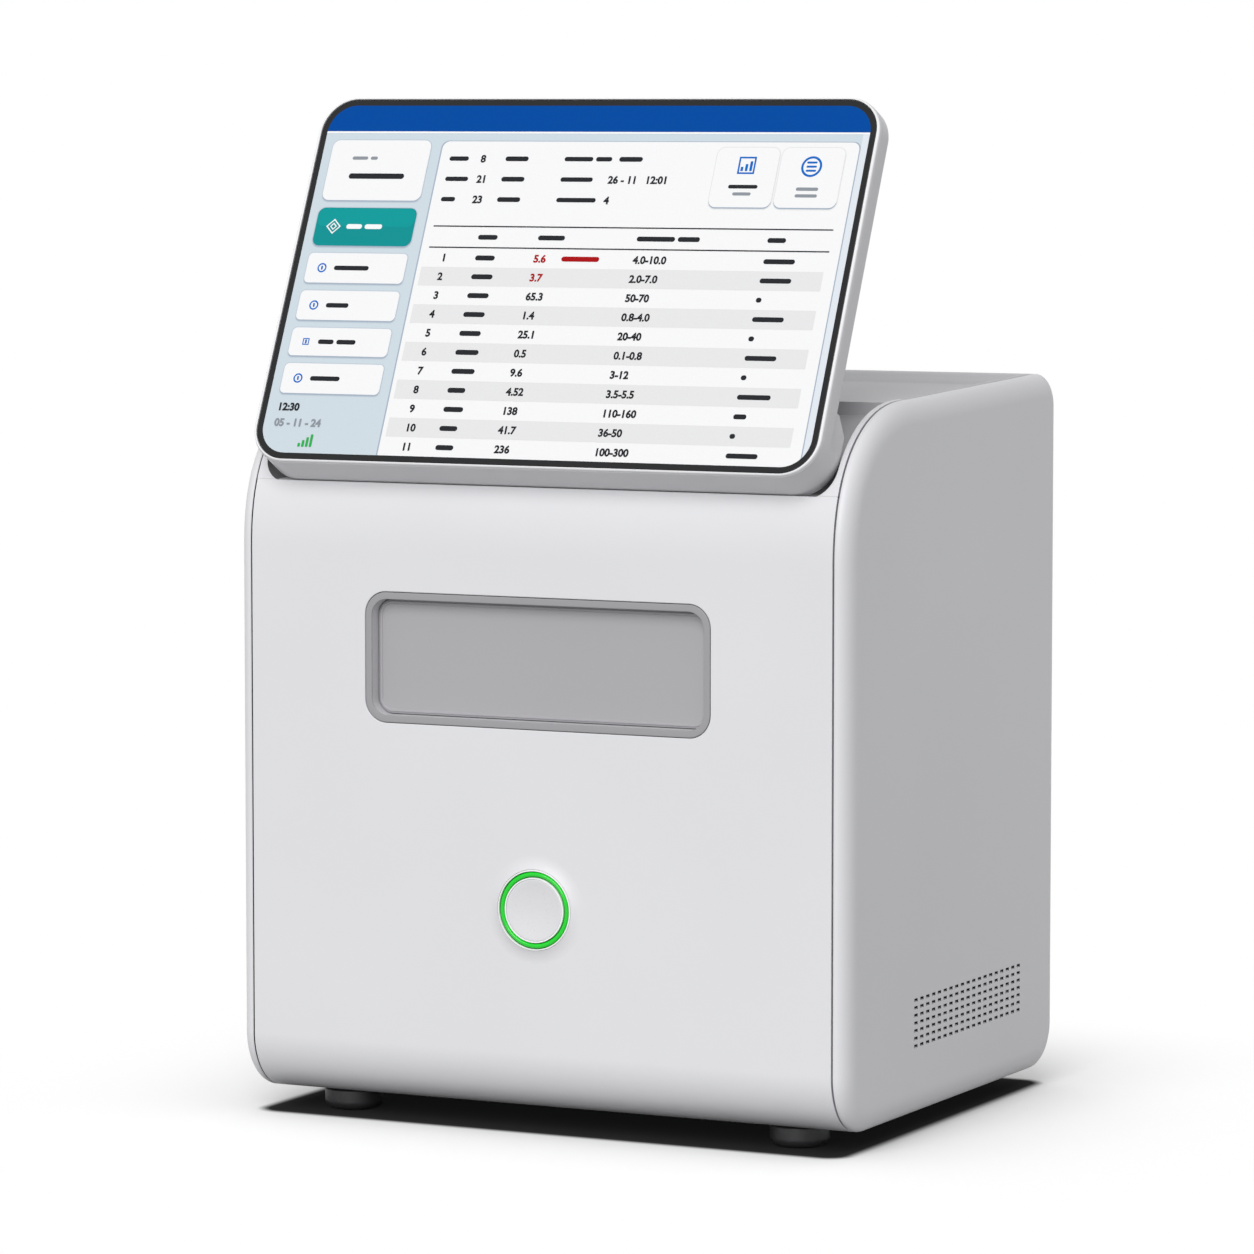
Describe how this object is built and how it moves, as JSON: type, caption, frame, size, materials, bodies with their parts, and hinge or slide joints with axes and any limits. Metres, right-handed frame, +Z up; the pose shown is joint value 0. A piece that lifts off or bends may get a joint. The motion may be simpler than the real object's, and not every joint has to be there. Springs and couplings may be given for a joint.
{
  "type": "blood analyzer",
  "caption": "Bench-top blood analyzer: rounded box casing on rubber feet with tilting touch screen, motor-driven sample drawer behind a front window and a lit push button.",
  "frame": {"origin": "centre of the footprint box, on the table top under the feet", "axes": "+Z up, -Y towards the front where the screen and the window are, +X to the right seen from the front"},
  "size_m": [0.34, 0.2836, 0.5178],
  "materials": {
    "casing_plastic": "satin pale grey painted plastic",
    "tray_plastic": "matte pale grey",
    "window_grey": "satin mid grey",
    "button_white": "smooth white",
    "light_green": "lit green light guide",
    "foot_rubber": "matte black",
    "screen_shell": "satin silver grey",
    "screen_glass": "black bordered cover glass, display lit behind it",
    "display": "lit display",
    "circuit_board": "green solder mask",
    "sheet_steel": "zinc plated sheet",
    "bright_steel": "ground and polished",
    "black_plastic": "black",
    "belt_rubber": "black",
    "gear_brass": "machined",
    "reagent_plastic": "milky white"
  },
  "bodies": {
    "casing": {"front_cover": "casing_plastic", "top_cover": "casing_plastic", "rear_cover": "casing_plastic", "left_side_panel": "casing_plastic", "right_side_panel": "casing_plastic", "base_plate": "sheet_steel", "foot_front_left": "foot_rubber", "foot_front_right": "foot_rubber", "foot_rear_left": "foot_rubber", "foot_rear_right": "foot_rubber", "window_bezel": "window_grey", "button_bezel": "button_white", "button_light_ring": "light_green", "button_switch": "black_plastic", "hinge_bracket_left": "sheet_steel", "hinge_bracket_right": "sheet_steel", "hinge_beam": "sheet_steel", "chassis_left": "sheet_steel", "chassis_right": "sheet_steel", "drawer_deck": "sheet_steel", "drawer_rail_left": "bright_steel", "drawer_rail_right": "bright_steel", "drawer_motor": "black_plastic", "power_supply": "sheet_steel", "main_board": "circuit_board", "fan_frame": "black_plastic", "gantry_rod_upper": "bright_steel", "gantry_rod_lower": "bright_steel", "carriage_belt": "belt_rubber", "belt_motor": "black_plastic", "idler_bracket": "sheet_steel", "optics_bridge": "sheet_steel", "optics_objective": "black_plastic", "optics_camera": "black_plastic", "power_inlet": "black_plastic", "io_block": "sheet_steel", "reagent_bottle": "reagent_plastic"},
    "screen": {"screen_housing": "screen_shell", "screen_glass": "screen_glass", "display_panel": "display", "screen_board": "circuit_board", "screen_hinge_pin_left": "bright_steel", "screen_hinge_pin_right": "bright_steel"},
    "drawer": {"drawer_front": "window_grey", "drawer_tray": "tray_plastic", "drawer_rack": "gear_brass", "drawer_runner_left": "bright_steel", "drawer_runner_right": "bright_steel", "reagent_cartridge_left": "reagent_plastic", "reagent_cartridge_right": "reagent_plastic"},
    "pinion": {"drawer_pinion": "gear_brass"},
    "button": {"button_cap": "button_white"},
    "carriage": {"pipette_carriage": "black_plastic", "lift_motor": "sheet_steel"},
    "head": {"pipette_head": "reagent_plastic", "pipette_needle": "bright_steel"},
    "drive_pulley": {"belt_drive_pulley": "bright_steel"},
    "idler_pulley": {"belt_idler_pulley": "bright_steel"},
    "fan": {"fan_rotor": "black_plastic"},
    "rocker": {"power_rocker": "black_plastic"}
  },
  "joints": [
    {"name": "screen_tilt", "type": "hinge", "parent": "casing", "child": "screen", "pos_m": [0, -0.11754, 0.34], "axis": [-1, 0, 0], "range_deg": [-15, 30]},
    {"name": "drawer_slide", "type": "slide", "parent": "casing", "child": "drawer", "axis": [0, -1, 0], "range_m": [0, 0.15]},
    {"name": "pinion_spin", "type": "hinge", "parent": "casing", "child": "pinion", "pos_m": [-0.012, -0.08954, 0.213], "axis": [0, 0, -1], "range_deg": [0, 720]},
    {"name": "button_press", "type": "slide", "parent": "casing", "child": "button", "axis": [0, 1, 0], "range_m": [0, 0.0018], "stiffness_N_per_m": 300},
    {"name": "carriage_slide", "type": "slide", "parent": "casing", "child": "carriage", "axis": [1, 0, 0], "range_m": [-0.06, 0.06]},
    {"name": "head_lower", "type": "slide", "parent": "carriage", "child": "head", "axis": [0, 0, -1], "range_m": [0, 0.03]},
    {"name": "drive_pulley_spin", "type": "hinge", "parent": "casing", "child": "drive_pulley", "pos_m": [0.118, 0.03547, 0.292], "axis": [0, 1, 0], "range_deg": [-450, 450]},
    {"name": "idler_pulley_spin", "type": "hinge", "parent": "casing", "child": "idler_pulley", "pos_m": [-0.118, 0.03547, 0.292], "axis": [0, 1, 0], "range_deg": [-450, 450]},
    {"name": "fan_spin", "type": "hinge", "parent": "casing", "child": "fan", "pos_m": [0, 0.12546, 0.15], "axis": [0, 1, 0], "continuous": true},
    {"name": "rocker_switch", "type": "hinge", "parent": "casing", "child": "rocker", "pos_m": [-0.11, 0.13676, 0.1], "axis": [1, 0, 0], "range_deg": [0, 16]}
  ],
  "couplings": [
    {"joint": "pinion_spin", "follows": "drawer_slide", "rad_per_m": 83.333},
    {"joint": "drive_pulley_spin", "follows": "carriage_slide", "rad_per_m": 125},
    {"joint": "idler_pulley_spin", "follows": "carriage_slide", "rad_per_m": 125}
  ]
}
